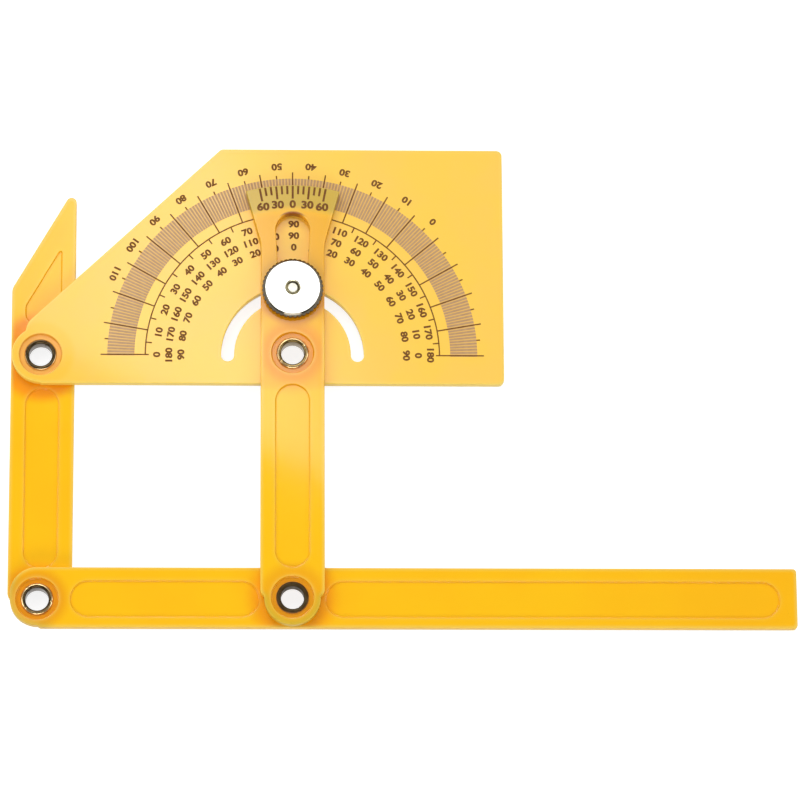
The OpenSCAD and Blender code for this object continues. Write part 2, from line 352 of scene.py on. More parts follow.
class NodeBoard:
    """Adds nodes to one tree and links them."""

    def __init__(self, tree: bpy.types.NodeTree) -> None:
        """Take the tree that the nodes go into."""
        self.tree = tree

    @staticmethod
    def find_input(node: bpy.types.Node, key: str) -> bpy.types.NodeSocket:
        """Return the input of a name, with _ for a space, or the one of a number, such as i0."""
        numbered = key[0] == "i" and key[1:].isdigit()
        return node.inputs[int(key[1:])] if numbered else node.inputs[key.replace("_", " ")]

    def feed(self, socket: bpy.types.NodeSocket, value: object) -> None:
        """Link a socket, or set its value.

        Args:
            socket: The socket that is fed.
            value: Another socket, a number, a vector, or a colour with or without its alpha.
        """
        if isinstance(value, bpy.types.NodeSocket):
            self.tree.links.new(value, socket)
        elif socket.type == "RGBA" and len(value) == 3:
            socket.default_value = (*value, 1.0)
        else:
            socket.default_value = value

    def add(self, kind: str, **inputs: object) -> bpy.types.Node:
        """Add a node and set or link its inputs.

        Args:
            kind: The node's type.
            inputs: Names of inputs and what each is fed with. A name that the node has as a setting of
                its own sets that.

        Returns:
            The node.
        """
        node = self.tree.nodes.new(kind)
        for key, value in inputs.items():
            if hasattr(node, key):
                setattr(node, key, value)
            else:
                self.feed(self.find_input(node, key), value)
        return node

    def use_group(self, name: str, **inputs: object) -> bpy.types.Node:
        """Place a shared group and feed its inputs."""
        return self.add("ShaderNodeGroup", node_tree=bpy.data.node_groups[name], **inputs)

    def calculate(
        self, operation: str, first: object, second: object = 0.0, clamp: bool = False
    ) -> bpy.types.NodeSocket:
        """Add a Math node and return its output.

        Args:
            operation: What it works out.
            first: Its first value or socket.
            second: Its second value or socket.
            clamp: Whether the result stays from 0 to 1.

        Returns:
            The result's socket.
        """
        node = self.add("ShaderNodeMath", operation=operation, use_clamp=clamp, i0=first, i1=second)
        return node.outputs[0]

    def rise(
        self, value: bpy.types.NodeSocket, low: object, high: object, easing: Easing = Easing.SOFT
    ) -> bpy.types.NodeSocket:
        """Return a share that rises from 0 to 1 while a value goes from one limit to the other.

        Args:
            value: The value's socket.
            low: Where the share is 0, a number or a socket.
            high: Where the share is 1, a number or a socket.
            easing: How it rises between them.

        Returns:
            The share's socket.
        """
        node = self.add(
            "ShaderNodeMapRange", interpolation_type=easing.value, Value=value, From_Min=low, From_Max=high
        )
        return node.outputs[0]

    def blend(self, share: object, first: object, second: object) -> bpy.types.NodeSocket:
        """Add a colour Mix node and return its output.

        Args:
            share: How much of the second colour shows, from 0 to 1.
            first: The first colour or socket.
            second: The second colour or socket.

        Returns:
            The mixed colour's socket.
        """
        node = self.add("ShaderNodeMix", data_type="RGBA", i0=share, i6=first, i7=second)
        return node.outputs[2]


def start_group(name: str, inputs: dict[str, str], outputs: dict[str, str]) -> tuple[NodeBoard, dict, dict]:
    """Start a shared node group with named inputs and outputs.

    Args:
        name: The group's name.
        inputs: Each input's name and the kind of its socket, such as Float, Color or Vector.
        outputs: Each output's name and kind.

    Returns:
        The board to build it on, the sockets that its inputs come from, and those its outputs go to.
    """
    tree = bpy.data.node_groups.new(name, "ShaderNodeTree")
    for ways, in_out in ((inputs, "INPUT"), (outputs, "OUTPUT")):
        for socket, kind in ways.items():
            tree.interface.new_socket(name=socket, in_out=in_out, socket_type=f"NodeSocket{kind}")
    board = NodeBoard(tree)
    given = {socket.name: socket for socket in board.add("NodeGroupInput").outputs if socket.name}
    wanted = {socket.name: socket for socket in board.add("NodeGroupOutput").inputs if socket.name}
    return board, given, wanted


@dataclass(frozen=True)
class SharedEffects:
    """The node groups that more than one finish uses, with the scales and limits of their patterns."""

    RING = "ring_mask"
    MOTTLE = "moulding_mottle"
    DULLING = "metal_dulling"

    cloud_scale: float = 55.0
    cloud_low: float = 0.35
    cloud_high: float = 0.68
    grain_scale: float = 900.0
    grain_middle: float = 0.5
    grain_roughness: float = 0.10
    grain_height: float = 0.15
    swirl_scale: float = 140.0
    tarnish_low: float = 0.3
    tarnish_high: float = 0.7
    tarnish_roughness: float = 0.22

    def build(self) -> None:
        """Build every shared group once."""
        self.ring_mask()
        self.moulding_mottle()
        self.metal_dulling()

    def ring_mask(self) -> None:
        """Mask of a ring about an upright axis: 1 between two radii, with soft edges."""
        board, given, wanted = start_group(
            self.RING,
            {"Vector": "Vector", "Centre": "Vector", "Inner": "Float", "Outer": "Float",
             "Softness": "Float"},
            {"Mask": "Float"},
        )
        vector_math = "ShaderNodeVectorMath"
        offset = board.add(vector_math, operation="SUBTRACT", i0=given["Vector"], i1=given["Centre"])
        flat = board.add(vector_math, operation="MULTIPLY", i0=offset.outputs[0], i1=(1.0, 1.0, 0.0))
        reach = board.add(vector_math, operation="LENGTH", i0=flat.outputs[0]).outputs[1]
        outside = board.calculate("MULTIPLY", given["Softness"], -1.0)
        past_inner = board.calculate("SUBTRACT", reach, given["Inner"])
        before_outer = board.calculate("SUBTRACT", given["Outer"], reach)
        edges = [board.rise(depth, outside, given["Softness"]) for depth in (past_inner, before_outer)]
        board.feed(wanted["Mask"], board.calculate("MULTIPLY", *edges))

    def moulding_mottle(self) -> None:
        """Faint clouds of a second tone, and the fine unevenness of a moulded face."""
        board, given, wanted = start_group(
            self.MOTTLE,
            {"Vector": "Vector", "Tone": "Color", "Cloud": "Color", "Amount": "Float", "Gloss": "Float"},
            {"Color": "Color", "Roughness": "Float", "Height": "Float"},
        )
        noise = "ShaderNodeTexNoise"
        place = given["Vector"]
        clouds = board.add(noise, Vector=place, Scale=self.cloud_scale, Detail=2.0, Roughness=0.5)
        share = board.rise(clouds.outputs[0], self.cloud_low, self.cloud_high)
        share = board.calculate("MULTIPLY", share, given["Amount"])
        board.feed(wanted["Color"], board.blend(share, given["Tone"], given["Cloud"]))
        grain = board.add(noise, Vector=place, Scale=self.grain_scale, Detail=3.0, Roughness=0.6).outputs[0]
        swirl = board.add(noise, Vector=place, Scale=self.swirl_scale, Detail=1.0).outputs[0]
        spread = board.calculate("SUBTRACT", grain, self.grain_middle)
        spread = board.calculate("MULTIPLY", spread, self.grain_roughness)
        board.feed(wanted["Roughness"], board.calculate("ADD", given["Gloss"], spread, clamp=True))
        height = board.calculate("MULTIPLY", grain, self.grain_height)
        board.feed(wanted["Height"], board.calculate("ADD", height, swirl))

    def metal_dulling(self) -> None:
        """Tarnish in patches, and a roughness that follows it."""
        board, given, wanted = start_group(
            self.DULLING,
            {"Vector": "Vector", "Bright": "Color", "Dull": "Color", "Scale": "Float", "Amount": "Float",
             "Gloss": "Float"},
            {"Color": "Color", "Roughness": "Float", "Height": "Float"},
        )
        patches = board.add("ShaderNodeTexNoise", Vector=given["Vector"], Scale=given["Scale"], Detail=4.0)
        share = board.rise(patches.outputs[0], self.tarnish_low, self.tarnish_high)
        worn = board.calculate("MULTIPLY", share, given["Amount"])
        board.feed(wanted["Color"], board.blend(worn, given["Bright"], given["Dull"]))
        rougher = board.calculate("MULTIPLY", worn, self.tarnish_roughness)
        board.feed(wanted["Roughness"], board.calculate("ADD", given["Gloss"], rougher, clamp=True))
        board.feed(wanted["Height"], patches.outputs[0])


def start_material(
    name: str,
) -> tuple[NodeBoard, bpy.types.Material, bpy.types.Node, bpy.types.NodeSocket]:
    """Start a material with a Principled shader.

    Args:
        name: The material's name.

    Returns:
        Its board, the material, its shader and the socket of the Object coordinates.
    """
    material = bpy.data.materials.new(name)
    material.use_nodes = True
    material.node_tree.nodes.clear()
    board = NodeBoard(material.node_tree)
    shader = board.add("ShaderNodeBsdfPrincipled")
    board.add("ShaderNodeOutputMaterial", Surface=shader.outputs[0])
    place = board.add("ShaderNodeTexCoord").outputs["Object"]
    return board, material, shader, place


def add_relief(
    board: NodeBoard, shader: bpy.types.Node, height: bpy.types.NodeSocket, depth: float
) -> None:
    """Feed a height through a Bump node into a shader's Normal."""
    bump = board.add("ShaderNodeBump", Height=height, Strength=1.0, Distance=depth)
    board.feed(shader.inputs["Normal"], bump.outputs[0])


@dataclass(frozen=True)
class Side:
    """One side of a ring: its heading, how far from the centre it starts, and its softness."""

    heading: float
    start: float
    softness: float


@dataclass(frozen=True)
class Ring:
    """A ring on a plate, about an upright axis, that takes another tone.

    A ring with a side lies only towards that heading, past the given distance from its centre.
    """

    centre: Point
    tone: Colour
    outer: float
    softness: float
    strength: float
    inner: float = 0.0
    side: Side | None = None


def side_mask(
    board: NodeBoard, place: bpy.types.NodeSocket, centre: Point, side: Side
) -> bpy.types.NodeSocket:
    """Return a mask that is 1 on one side of a centre.

    Args:
        board: The material's board.
        place: The socket of the Object coordinates.
        centre: The centre.
        side: Which side.

    Returns:
        The mask's socket.
    """
    way = (*polar(1.0, side.heading), 0.0)
    along = board.add("ShaderNodeVectorMath", operation="DOT_PRODUCT", i0=place, i1=way).outputs[1]
    start = centre[0] * way[0] + centre[1] * way[1] + side.start
    return board.rise(along, start - side.softness, start + side.softness)


def lay_rings(
    board: NodeBoard, place: bpy.types.NodeSocket, colour: bpy.types.NodeSocket, rings: Sequence[Ring]
) -> bpy.types.NodeSocket:
    """Lay rings of other tones over a colour.

    Args:
        board: The material's board.
        place: The socket of the Object coordinates.
        colour: The colour below the rings.
        rings: The rings, from the lowest to the topmost.

    Returns:
        The socket of the colour with its rings.
    """
    for ring in rings:
        mask = board.use_group(
            SharedEffects.RING, Vector=place, Centre=(*ring.centre, 0.0), Inner=ring.inner,
            Outer=ring.outer, Softness=ring.softness,
        ).outputs[0]
        if ring.side is not None:
            mask = board.calculate("MULTIPLY", mask, side_mask(board, place, ring.centre, ring.side))
        colour = board.blend(board.calculate("MULTIPLY", mask, ring.strength), colour, ring.tone)
    return colour


@dataclass(frozen=True)
class PlasticFinish:
    """Translucent amber plastic, coloured through and glossy, with painted light that makes its edges
    and walls paler, and painted shade on the walls of its recesses.

    The first rings lie in the body's colour, below the painted edge light, and the others lie over them.
    """

    name: str
    tone: Colour
    cloud: Colour
    # Painted light: the paler tone of the edges, as if light gathered there
    rim: Colour = paint(240, 203, 92)
    rim_width: float = 1.5 * MM
    rim_samples: int = 8
    rim_starts: float = 0.93
    rim_full: float = 0.5
    # Painted light: the paler tone of the walls that go right through
    wall: Colour = paint(255, 204, 52)
    wall_share: float = 0.85
    wall_roughness: float = 0.35
    # Painted shade: the deeper tone of the recesses' walls
    recess: Colour = paint(240, 160, 14)
    recess_share: float = 0.3
    cloud_amount: float = 0.5
    gloss: float = 0.07
    relief: float = 0.003 * MM
    rings: tuple[Ring, ...] = ()
    over_rims: tuple[Ring, ...] = ()

    def make(self) -> bpy.types.Material:
        """Build the material: mottled body, painted light on rims and walls, painted shade in recesses,
        and rings that paint the shade and light of what lies below.

        Returns:
            The material.
        """
        board, material, shader, place = start_material(self.name)
        body = board.use_group(
            SharedEffects.MOTTLE, Vector=place, Tone=self.tone, Cloud=self.cloud,
            Amount=self.cloud_amount, Gloss=self.gloss,
        )
        wall = board.add("ShaderNodeAttribute", attribute_name=WALL_LAYER).outputs["Fac"]
        recess = board.add("ShaderNodeAttribute", attribute_name=RECESS_LAYER).outputs["Fac"]
        colour = lay_rings(board, place, body.outputs["Color"], self.rings)
        # Painted light on the edges, then on the through walls, then painted shade in the recesses
        colour = board.blend(self.rim_share(board, recess), colour, self.rim)
        colour = board.blend(board.calculate("MULTIPLY", wall, self.wall_share), colour, self.wall)
        colour = board.blend(board.calculate("MULTIPLY", recess, self.recess_share), colour, self.recess)
        board.feed(shader.inputs["Base Color"], lay_rings(board, place, colour, self.over_rims))
        rougher = board.calculate("MULTIPLY", wall, self.wall_roughness)
        rougher = board.calculate("ADD", body.outputs["Roughness"], rougher)
        board.feed(shader.inputs["Roughness"], rougher)
        add_relief(board, shader, body.outputs["Height"], self.relief)
        return material

    def rim_share(self, board: NodeBoard, recess: bpy.types.NodeSocket) -> bpy.types.NodeSocket:
        """Return how much a place lies at an outer edge, apart from the walls of the recesses.

        Args:
            board: The material's board.
            recess: The socket that is 1 on the walls of the recesses.

        Returns:
            The share's socket.
        """
        # Rays sent into the plate meet a wall within the rim's width only near an edge
        depth = board.add(
            "ShaderNodeAmbientOcclusion", samples=self.rim_samples, inside=True, only_local=True,
            Distance=self.rim_width,
        ).outputs["AO"]
        near_edge = board.rise(depth, self.rim_starts, self.rim_full, Easing.STRAIGHT)
        return board.calculate("MULTIPLY", near_edge, board.calculate("SUBTRACT", 1.0, recess))


@dataclass(frozen=True)
class MetalFinish:
    """Plated or rolled metal with some tarnish."""

    name: str
    bright: Colour
    dull: Colour
    amount: float
    gloss: float
    scale: float = 420.0
    relief: float = 0.002 * MM
    rings: tuple[Ring, ...] = ()

    def make(self) -> bpy.types.Material:
        """Build the material: metal with tarnish in patches, and rings of painted shade and dark
        reflection.

        Returns:
            The material.
        """
        board, material, shader, place = start_material(self.name)
        board.feed(shader.inputs["Metallic"], 1.0)
        worn = board.use_group(
            SharedEffects.DULLING, Vector=place, Bright=self.bright, Dull=self.dull, Scale=self.scale,
            Amount=self.amount, Gloss=self.gloss,
        )
        board.feed(shader.inputs["Base Color"], lay_rings(board, place, worn.outputs["Color"], self.rings))
        board.feed(shader.inputs["Roughness"], worn.outputs["Roughness"])
        add_relief(board, shader, worn.outputs["Height"], self.relief)
        return material


@dataclass(frozen=True)
class InkFinish:
    """Printed ink that lies thinner in some patches."""

    name: str
    dark: Colour
    thin: Colour
    roughness: float = 0.5
    shine: float = 0.1
    patch_scale: float = 650.0
    patch_low: float = 0.35
    patch_high: float = 0.75

    def make(self) -> bpy.types.Material:
        """Build the material: dull ink between its dark and its thin tone.

        Returns:
            The material.
        """
        board, material, shader, place = start_material(self.name)
        board.feed(shader.inputs["Roughness"], self.roughness)
        board.feed(shader.inputs["Specular IOR Level"], self.shine)
        patches = board.add("ShaderNodeTexNoise", Vector=place, Scale=self.patch_scale, Detail=3.0)
        share = board.rise(patches.outputs[0], self.patch_low, self.patch_high, Easing.STRAIGHT)
        board.feed(shader.inputs["Base Color"], board.blend(share, self.dark, self.thin))
        return material


Finish = PlasticFinish | MetalFinish | InkFinish
PLATED_STEEL = MetalFinish(
    "plated_steel", paint(232, 230, 218), paint(206, 202, 184), amount=0.5, gloss=0.25
)
BROWN_INK = InkFinish("brown_ink", paint(112, 72, 34), paint(132, 90, 46))
THIN_INK = InkFinish("thin_brown_ink", paint(182, 144, 104), paint(194, 156, 112))


def mount(
    piece: bpy.types.Object, body: Body, finish: Finish, stands_for: Sequence[str] = ()
) -> None:
    """Dress a finished piece, put it on its body and report it.

    Args:
        piece: The finished piece.
        body: The body that it moves with.
        finish: What its surface is.
        stands_for: The nodes of the frame that it replaces.
    """
    piece.data.materials.clear()
    made = bpy.data.materials.get(finish.name) or finish.make()
    piece.data.materials.append(made)
    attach(piece, body.value)
    if stands_for:
        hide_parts(*stands_for)
    LOG.info("%s: %d faces, on %s", piece.name, len(piece.data.polygons), body.value)


@dataclass(frozen=True)
class Pivots:
    """The four pivots and the clamp, taken from the frame."""

    head_arm: Point
    head_link: Point
    blade_arm: Point
    blade_link: Point
    clamp: Point

    @classmethod
    def from_frame(cls) -> "Pivots":
        """Read where the rivets and the nut stand.

        Returns:
            The pivots.
        """
        return cls(
            head_arm=cls.middle("head_arm_rivet"),
            head_link=cls.middle("head_link_rivet"),
            blade_arm=cls.middle("blade_arm_rivet"),
            blade_link=cls.middle("blade_link_rivet"),
            clamp=cls.middle("clamp_nut"),
        )

    @staticmethod
    def middle(node: str) -> Point:
        """Return where the upright axis of a round node stands."""
        low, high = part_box(node)
        return (low.x + high.x) / 2, (low.y + high.y) / 2


@dataclass
class MouldedPlate:
    """One plastic plate: a copy of its node with painted rim light and softened edges."""

    node: str
    body: Body
    slot: Slot
    finish: PlasticFinish
    edge: float = 0.25 * MM
    edge_steps: int = 3
    sharp_angle: float = 40.0
    crease: float = 35.0
    flat: float = 0.98
    through: float = 2.5 * MM

    def build(self) -> None:
        """Make the plate and mount it."""
        plate = copy_node(self.node, f"{self.node}_plate")
        self.soften_edges(plate)
        self.mark_walls(plate)
        shade_softened(plate, self.crease)
        mount(plate, self.body, self.finish, [self.node])

    def soften_edges(self, plate: bpy.types.Object) -> None:
        """Round every sharp edge of the plate.

        Args:
            plate: The plate.
        """
        open_mesh(plate, "DESELECT")
        bpy.ops.mesh.select_mode(type="EDGE")
        bpy.ops.mesh.edges_select_sharp(sharpness=math.radians(self.sharp_angle))
        bpy.ops.mesh.bevel(offset=self.edge, segments=self.edge_steps, affect="EDGES")
        close_mesh()

    def mark_walls(self, plate: bpy.types.Object) -> None:
        """Mark the walls that go right through the plate, and apart from them those of its recesses.

        Args:
            plate: The plate.
        """
        faces = plate.data.polygons
        marks = {WALL_LAYER: [0.0] * len(faces), RECESS_LAYER: [0.0] * len(faces)}
        for band in self.upright_bands(faces):
            levels = [plate.data.vertices[c].co.z for index in band for c in faces[index].vertices]
            layer = WALL_LAYER if max(levels) - min(levels) > self.through else RECESS_LAYER
            for index in band:
                marks[layer][index] = 1.0
        for layer, values in marks.items():
            plate.data.attributes.new(layer, "FLOAT", "FACE").data.foreach_set("value", values)

    def upright_bands(self, faces: Sequence[bpy.types.MeshPolygon]) -> list[list[int]]:
        """Gather the faces that do not lie flat into bands of faces that share corners.

        Args:
            faces: The plate's faces.

        Returns:
            The numbers of each band's faces.
        """
        waiting = {face.index for face in faces if abs(face.normal.z) < self.flat}
        beside = defaultdict(set)
        for index in waiting:
            for corner in faces[index].vertices:
                beside[corner].add(index)
        bands = []
        while waiting:
            band = []
            front = [waiting.pop()]
            while front:
                here = front.pop()
                band.append(here)
                near = set().union(*(beside[corner] for corner in faces[here].vertices)) & waiting
                waiting -= near
                front.extend(near)
            bands.append(band)
        return bands


@dataclass
class HollowRivet:
    """A hollow rivet, whose sheet metal is rolled outwards over the plates at both ends."""

    node: str
    body: Body
    centre: Point
    finish: MetalFinish
    splits: tuple[float, ...]
    wall: float = 0.4 * MM
    roll: float = 0.75 * MM
    steps: int = 96
    arc_pieces: int = 12
    split_depth: float = 0.16 * MM
    crease: float = 50.0

    def build(self) -> None:
        """Turn the rivet, split its rolls and mount it."""
        rivet = turn_profile(f"{self.node}_rolled", self.profile(), self.centre, self.steps)
        for angle in self.splits:
            self.split(rivet, angle)
        smooth(rivet, self.crease)
        mount(rivet, self.body, self.finish, [self.node])

    def profile(self) -> list[Point]:
        """Draw the closed profile: bore, upper roll, tube's outside and lower roll.

        Returns:
            Radii and heights of its points, in order.
        """
        low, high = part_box(self.node)
        bore = (high.x - low.x) / 2 - 2 * self.roll
        middle = bore + self.roll
        top = high.z - self.roll
        foot = low.z + self.roll
        inner = self.roll - self.wall
        upper = arc((middle, top), self.roll, 180, 0, self.arc_pieces)
        upper_back = arc((middle, top), inner, 0, 180, self.arc_pieces)
        lower_back = arc((middle, foot), inner, 180, 360, self.arc_pieces)
        lower = arc((middle, foot), self.roll, 360, 180, self.arc_pieces)
        return [*upper, *upper_back, *lower_back, *lower, upper[0]]

    def split(self, rivet: bpy.types.Object, angle: float) -> None:
        """Press a narrow groove across both rolls, where the metal has split.

        Args:
            rivet: The rivet.
            angle: Where the groove lies.
        """
        way = Vector((*polar(1.0, angle), 0.0))
        low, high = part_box(self.node)
        half_step = math.pi / self.steps
        # Nothing stays selected, so that only the groove's own vertices are picked below
        open_mesh(rivet, "DESELECT")
        close_mesh()
        for corner in rivet.data.vertices:
            spoke = Vector((corner.co.x - self.centre[0], corner.co.y - self.centre[1], 0.0))
            on_line = spoke.angle(way) < half_step
            on_roll = corner.co.z > high.z - self.roll or corner.co.z < low.z + self.roll
            corner.select = on_line and on_roll
        bpy.ops.object.mode_set(mode="EDIT")
        bpy.ops.transform.shrink_fatten(value=-self.split_depth)
        close_mesh()


@dataclass
class ThumbClamp:
    """The screw, washer and knurled nut that lock the arm in the slot."""

    centre: Point
    nut_finish: MetalFinish
    screw_finish: MetalFinish
    crease: float = 30.0
    nut_edge: float = 0.07 * MM
    nut_edge_steps: int = 2
    washer_edge: float = 0.08 * MM
    washer_edge_steps: int = 3
    washer_sharp: float = 40.0
    washer_crease: float = 35.0
    thread_pitch: float = 0.7 * MM
    thread_depth: float = 0.28 * MM
    thread_steps: int = 40
    thread_lead: float = 1.5
    point_rise: float = 0.6 * MM
    point_r: float = 1.4 * MM
    shank_r: float = 2.0 * MM
    neck_side: float = 3.8 * MM
    neck_length: float = 2.4 * MM
    neck_edge: float = 0.25 * MM
    neck_edge_steps: int = 3
    head_height: float = 2.0 * MM
    head_rim: float = 0.5 * MM
    head_edge: float = 0.12 * MM
    head_arc_pieces: int = 14
    head_steps: int = 72

    def build(self) -> None:
        """Make and mount the three pieces."""
        self.nut()
        self.washer()
        self.screw()

    def nut(self) -> None:
        """Soften the edges of the knurled nut."""
        nut = copy_node("clamp_nut", "clamp_nut_knurled")
        soften(nut, self.nut_edge, self.nut_edge_steps, self.crease)
        shade_softened(nut, self.crease)
        mount(nut, Body.NUT, self.nut_finish, ["clamp_nut"])

    def washer(self) -> None:
        """Soften the edges of the pressed washer."""
        washer = copy_node("clamp_washer", "clamp_washer_pressed")
        soften(washer, self.washer_edge, self.washer_edge_steps, self.washer_sharp)
        shade_softened(washer, self.washer_crease)
        mount(washer, Body.ARM, self.screw_finish, ["clamp_washer"])

    def screw(self) -> None:
        """Join the screw's head, its square neck and its threaded shank."""
        low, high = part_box("clamp_screw")
        seat = low.z + self.head_height
        head = self.screw_head(low.z, (high.x - low.x) / 2)
        neck = self.square_neck(seat)
        shank = self.threaded_shank(seat + self.neck_length, high.z)
        screw = join("clamp_screw_threaded", [head, neck, shank])
        smooth(screw, self.crease)
        mount(screw, Body.SCREW, self.screw_finish, ["clamp_screw"])

    def screw_head(self, foot: float, radius: float) -> bpy.types.Object:
        """Turn the low domed head.

        Args:
            foot: Level of its lowest point.
            radius: Its radius.

        Returns:
            The head.
        """
        dome = self.head_height - self.head_rim
        dome_r = (radius**2 + dome**2) / (2 * dome)
        reach = math.degrees(math.asin(radius / dome_r))
        crown = arc((0.0, foot + dome_r), dome_r, -UPRIGHT, -UPRIGHT + reach, self.head_arc_pieces)
        seat = foot + self.head_height
        profile = [*crown, (radius, seat - self.head_edge), (radius - self.head_edge, seat), (0.0, seat)]
        return turn_profile("screw_head", profile, self.centre, self.head_steps)

    def square_neck(self, seat: float) -> bpy.types.Object:
        """Make the square neck that keeps the screw from turning in the slot.

        Args:
            seat: Level of its lower end.

        Returns:
            The neck.
        """
        clear_selection()
        middle = seat + self.neck_length / 2
        bpy.ops.mesh.primitive_cube_add(size=1.0, location=(*self.centre, middle))
        neck = bpy.context.object
        neck.scale = (self.neck_side, self.neck_side, self.neck_length)
        bpy.ops.object.transform_apply(location=True, rotation=True, scale=True)
        soften(neck, self.neck_edge, self.neck_edge_steps, self.crease)
        return neck

    def threaded_shank(self, foot: float, end: float) -> bpy.types.Object:
        """Cut a true helical thread and taper it to the screw's point.

        Args:
            foot: Level where the shank leaves the neck.
            end: Level of the screw's end.

        Returns:
            The shank.
        """
        # The helix begins below the foot and ends past the point, so both cuts go through whole thread
        start = foot - self.thread_lead * self.thread_pitch
        turns = math.ceil((end - start) / self.thread_pitch) + 1
        shank = start_point()
        bpy.ops.transform.translate(value=(self.shank_r - self.thread_depth, 0.0, start))
        for way in (self.thread_depth, -self.thread_depth):
            step = (way, 0.0, self.thread_pitch / 2)
            bpy.ops.mesh.extrude_region_move(TRANSFORM_OT_translate={"value": step})
        close_mesh()
        carry_out(
            shank, "SCREW", angle=FULL_TURN, steps=self.thread_steps, render_steps=self.thread_steps,
            screw_offset=self.thread_pitch, iterations=turns, axis="Z",
        )
        face_out(shank)
        open_mesh(shank)
        bpy.ops.mesh.bisect(plane_co=(0, 0, foot), plane_no=(0, 0, 1), use_fill=True, clear_inner=True)
        bpy.ops.mesh.select_all(action="SELECT")
        bpy.ops.mesh.bisect(plane_co=(0, 0, end), plane_no=(0, 0, 1), use_fill=True, clear_outer=True)
        close_mesh()
        self.taper(shank.data.vertices, end)
        shank.data.transform(Matrix.Translation((*self.centre, 0.0)))
        face_out(shank)
        return shank

    def taper(self, corners: Sequence[bpy.types.MeshVertex], end: float) -> None:
        """Draw in the thread near the screw's end, to its point.

        Args:
            corners: The shank's vertices, about the Z axis.
            end: Level of the screw's end.
        """
        for corner in corners:
            limit = self.point_r + max(0.0, end - corner.co.z)
            reach = math.hypot(corner.co.x, corner.co.y)
            if end - corner.co.z < self.point_rise and reach > limit:
                corner.co.x *= limit / reach
                corner.co.y *= limit / reach


@dataclass(frozen=True)
class Stroke:
    """How a line is printed: its width, and how far its ink stands above the face."""

    width: float
    height: float


@dataclass
class PrintShop:
    """Prints marks and numbers as thin closed layers of ink on a face."""

    face: float
    sunk: float = 0.01 * MM
    number_height: float = 0.02 * MM
    digit_share: float = 0.73
    boldness: float = 0.044
    widening: float = 1.16
    curve_steps: int = 3

    def layer(self, height: float) -> Pair:
        """Return the middle level and the thickness of ink that stands a height above the face."""
        return self.face + (height - self.sunk) / 2, height + self.sunk

    def tick(self, inner: float, outer: float, angle: float, stroke: Stroke) -> bpy.types.Object:
        """Print one radial line.

        Args:
            inner: Radius of its inner end.
            outer: Radius of its outer end.
            angle: Where it points.
            stroke: How it is printed.

        Returns:
            The line.
        """
        clear_selection()
        level, thickness = self.layer(stroke.height)
        bpy.ops.mesh.primitive_cube_add(size=1.0, location=((inner + outer) / 2, 0.0, level))
        line = bpy.context.object
        line.scale = (outer - inner, stroke.width, thickness)
        bpy.ops.object.transform_apply(location=True, rotation=True, scale=True)
        line.data.transform(Matrix.Rotation(math.radians(angle), 4, "Z"))
        return line

    def fan_of_ticks(
        self, inner: float, outer: float, first: float, step: float, count: int, stroke: Stroke
    ) -> bpy.types.Object:
        """Print a line and step it round the scale's centre.

        Args:
            inner: Radius of each line's inner end.
            outer: Radius of each line's outer end.
            first: Angle of the first line.
            step: Angle from one line to the next.
            count: How many lines there are, two or more.
            stroke: How they are printed.

        Returns:
            The lines, as one piece.
        """
        lines = self.tick(inner, outer, first, stroke)
        open_mesh(lines)
        # A spin about the downward axis goes anticlockwise seen from above
        bpy.ops.mesh.spin(
            steps=count - 1, dupli=True, angle=math.radians(step * (count - 1)), center=(0, 0, 0),
            axis=(0, 0, -1),
        )
        close_mesh()
        return lines

    def arc_line(self, radius: float, first: int, last: int, stroke: Stroke) -> bpy.types.Object:
        """Print a thin arc about the scale's centre, by spinning its cross-section.

        Args:
            radius: The arc's radius.
            first: Angle of its first end.
            last: Angle of its last end.
            stroke: How it is printed.

        Returns:
            The arc.
        """
        clear_selection()
        level, thickness = self.layer(stroke.height)
        bpy.ops.mesh.primitive_plane_add(size=1.0, location=(0, 0, 0))
        line = bpy.context.object
        line.scale = (stroke.width, thickness, 1.0)
        bpy.ops.object.transform_apply(location=True, rotation=True, scale=True)
        line.data.transform(Matrix.Translation((radius, 0.0, level)) @ Matrix.Rotation(math.pi / 2, 4, "X"))
        line.data.transform(Matrix.Rotation(math.radians(first), 4, "Z"))
        open_mesh(line)
        bpy.ops.mesh.spin(
            steps=last - first, angle=math.radians(last - first), center=(0, 0, 0), axis=(0, 0, -1)
        )
        close_mesh()
        face_out(line)
        return line

    def number(self, text: str, tall: float, at: Point, turn: float) -> bpy.types.Object:
        """Print a number with its middle at a point.

        Args:
            text: The digits.
            tall: Height of the digits.
            at: Where the number's middle lies.
            turn: How far it is turned, anticlockwise.

        Returns:
            The number, as a mesh.
        """
        clear_selection()
        level, thickness = self.layer(self.number_height)
        bpy.ops.object.text_add(location=(0, 0, 0))
        lettering = bpy.context.object.data
        lettering.body = text
        lettering.size = tall / self.digit_share
        lettering.align_x = "CENTER"
        lettering.offset = self.boldness * lettering.size
        lettering.resolution_u = self.curve_steps
        lettering.extrude = thickness / 2
        bpy.ops.object.convert(target="MESH")
        number = bpy.context.object
        reach = [corner.co for corner in number.data.vertices]
        middle_x = (min(c.x for c in reach) + max(c.x for c in reach)) / 2
        middle_y = (min(c.y for c in reach) + max(c.y for c in reach)) / 2
        number.data.transform(
            Matrix.Translation((*at, level))
            @ Matrix.Rotation(math.radians(turn), 4, "Z")
            @ Matrix.Diagonal((self.widening, 1.0, 1.0, 1.0))
            @ Matrix.Translation((-middle_x, -middle_y, 0.0))
        )
        return number

    def ring_of_numbers(
        self, texts: dict[float, str], radius: float, tall: float, facing: Facing
    ) -> list[bpy.types.Object]:
        """Print numbers round the scale's centre.

        Args:
            texts: The number at each angle.
            radius: Where the numbers' middles lie.
            tall: Height of the digits.
            facing: Which way their tops point.

        Returns:
            The numbers.
        """
        return [
            self.number(text, tall, polar(radius, angle), angle + facing.value)
            for angle, text in texts.items()
        ]


